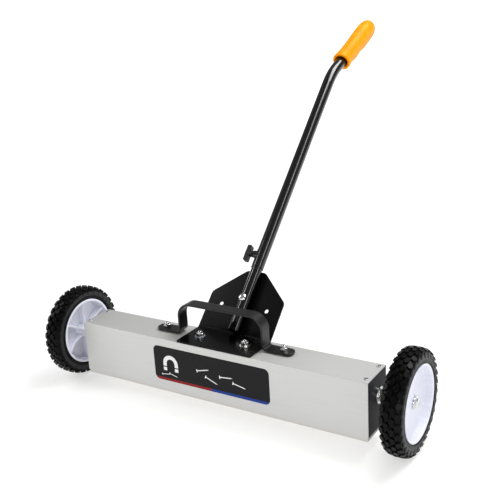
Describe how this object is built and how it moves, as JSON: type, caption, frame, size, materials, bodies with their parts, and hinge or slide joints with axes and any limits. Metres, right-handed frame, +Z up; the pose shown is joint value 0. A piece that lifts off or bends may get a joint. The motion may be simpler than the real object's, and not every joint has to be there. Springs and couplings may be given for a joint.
{
  "type": "magnetic nail sweeper",
  "caption": "Push-along magnetic floor sweeper: long silver magnet housing on two knobbly wheels, black lift handle, leaning telescopic pole with an amber grip.",
  "frame": {"origin": "on the floor, at the centre of the footprint under the whole sweeper", "axes": "+X along the body towards the right-hand wheel, +Y back towards the grip, +Z up"},
  "size_m": [0.7542, 0.7524, 0.6611],
  "materials": {
    "body_aluminium": "silver satin anodised",
    "tray_steel": "plain non-magnetic stainless sheet",
    "black_steel": "satin black powder coat",
    "gloss_black_steel": "gloss black powder coat",
    "satin_black_steel": "satin black powder coat",
    "zinc": "bright zinc plate",
    "label_print": "printed vinyl, dark with a red and blue foot",
    "black_plastic": "moulded nylon",
    "grey_nylon": "moulded nylon",
    "carriage_steel": "mill steel",
    "ferrite": "ground ferrite",
    "grip_rubber": "moulded amber elastomer",
    "tyre_rubber": "moulded knobbly tread",
    "white_plastic": "moulded white polypropylene"
  },
  "bodies": {
    "chassis": {"housing": "body_aluminium", "bottom_tray": "tray_steel", "end_cap_left": "black_steel", "end_cap_right": "black_steel", "cap_screws": "zinc", "label": "label_print", "axle_left": "zinc", "axle_right": "zinc", "axle_spacers": "black_plastic", "axle_washers": "zinc", "axle_nuts": "zinc", "hub_washers": "zinc", "push_nuts": "zinc", "bracket_foot": "gloss_black_steel", "bracket_plate": "gloss_black_steel", "bracket_bolts": "zinc", "bracket_washers": "zinc", "bracket_nuts": "zinc", "lower_tube": "gloss_black_steel", "tube_bolts": "zinc", "tube_washers": "zinc", "tube_nuts": "zinc", "guide_bushes": "black_plastic"},
    "magnet_lift": {"lift_handle": "black_steel", "lift_rods": "zinc", "lift_nuts": "zinc", "carriage_nuts": "zinc", "magnet_channel": "carriage_steel", "magnets": "ferrite"},
    "pole_slide": {"upper_tube": "satin_black_steel", "clamp_boss": "satin_black_steel", "grip": "grip_rubber"},
    "clamp_screw": {"clamp_screw": "zinc"},
    "clamp_knob": {"clamp_knob": "black_plastic"},
    "wheel_left": {"wheel_rim_left": "white_plastic", "tyre_left": "tyre_rubber", "hub_bush_left": "grey_nylon"},
    "wheel_right": {"wheel_rim_right": "white_plastic", "tyre_right": "tyre_rubber", "hub_bush_right": "grey_nylon"}
  },
  "joints": [
    {"name": "wheel_left_spin", "type": "hinge", "parent": "chassis", "child": "wheel_left", "pos_m": [-0.358, -0.28521, 0.091], "axis": [1, 0, 0], "continuous": true},
    {"name": "wheel_right_spin", "type": "hinge", "parent": "chassis", "child": "wheel_right", "pos_m": [0.358, -0.28521, 0.091], "axis": [1, 0, 0], "continuous": true},
    {"name": "magnet_lift", "type": "slide", "parent": "chassis", "child": "magnet_lift", "axis": [0, 0, 1], "range_m": [0, 0.045]},
    {"name": "pole_extend", "type": "slide", "parent": "chassis", "child": "pole_slide", "axis": [0, 0.7193, 0.6947], "range_m": [0, 0.3]},
    {"name": "clamp_advance", "type": "slide", "parent": "pole_slide", "child": "clamp_screw", "axis": [-1, 0, 0], "range_m": [0, 0.0025]},
    {"name": "clamp_turn", "type": "hinge", "parent": "clamp_screw", "child": "clamp_knob", "pos_m": [0.0075, -0.15011, 0.25623], "axis": [-1, 0, 0], "range_deg": [0, 720]}
  ],
  "couplings": [
    {"joint": "clamp_advance", "follows": "clamp_turn", "m_per_rad": 0.00019894}
  ]
}
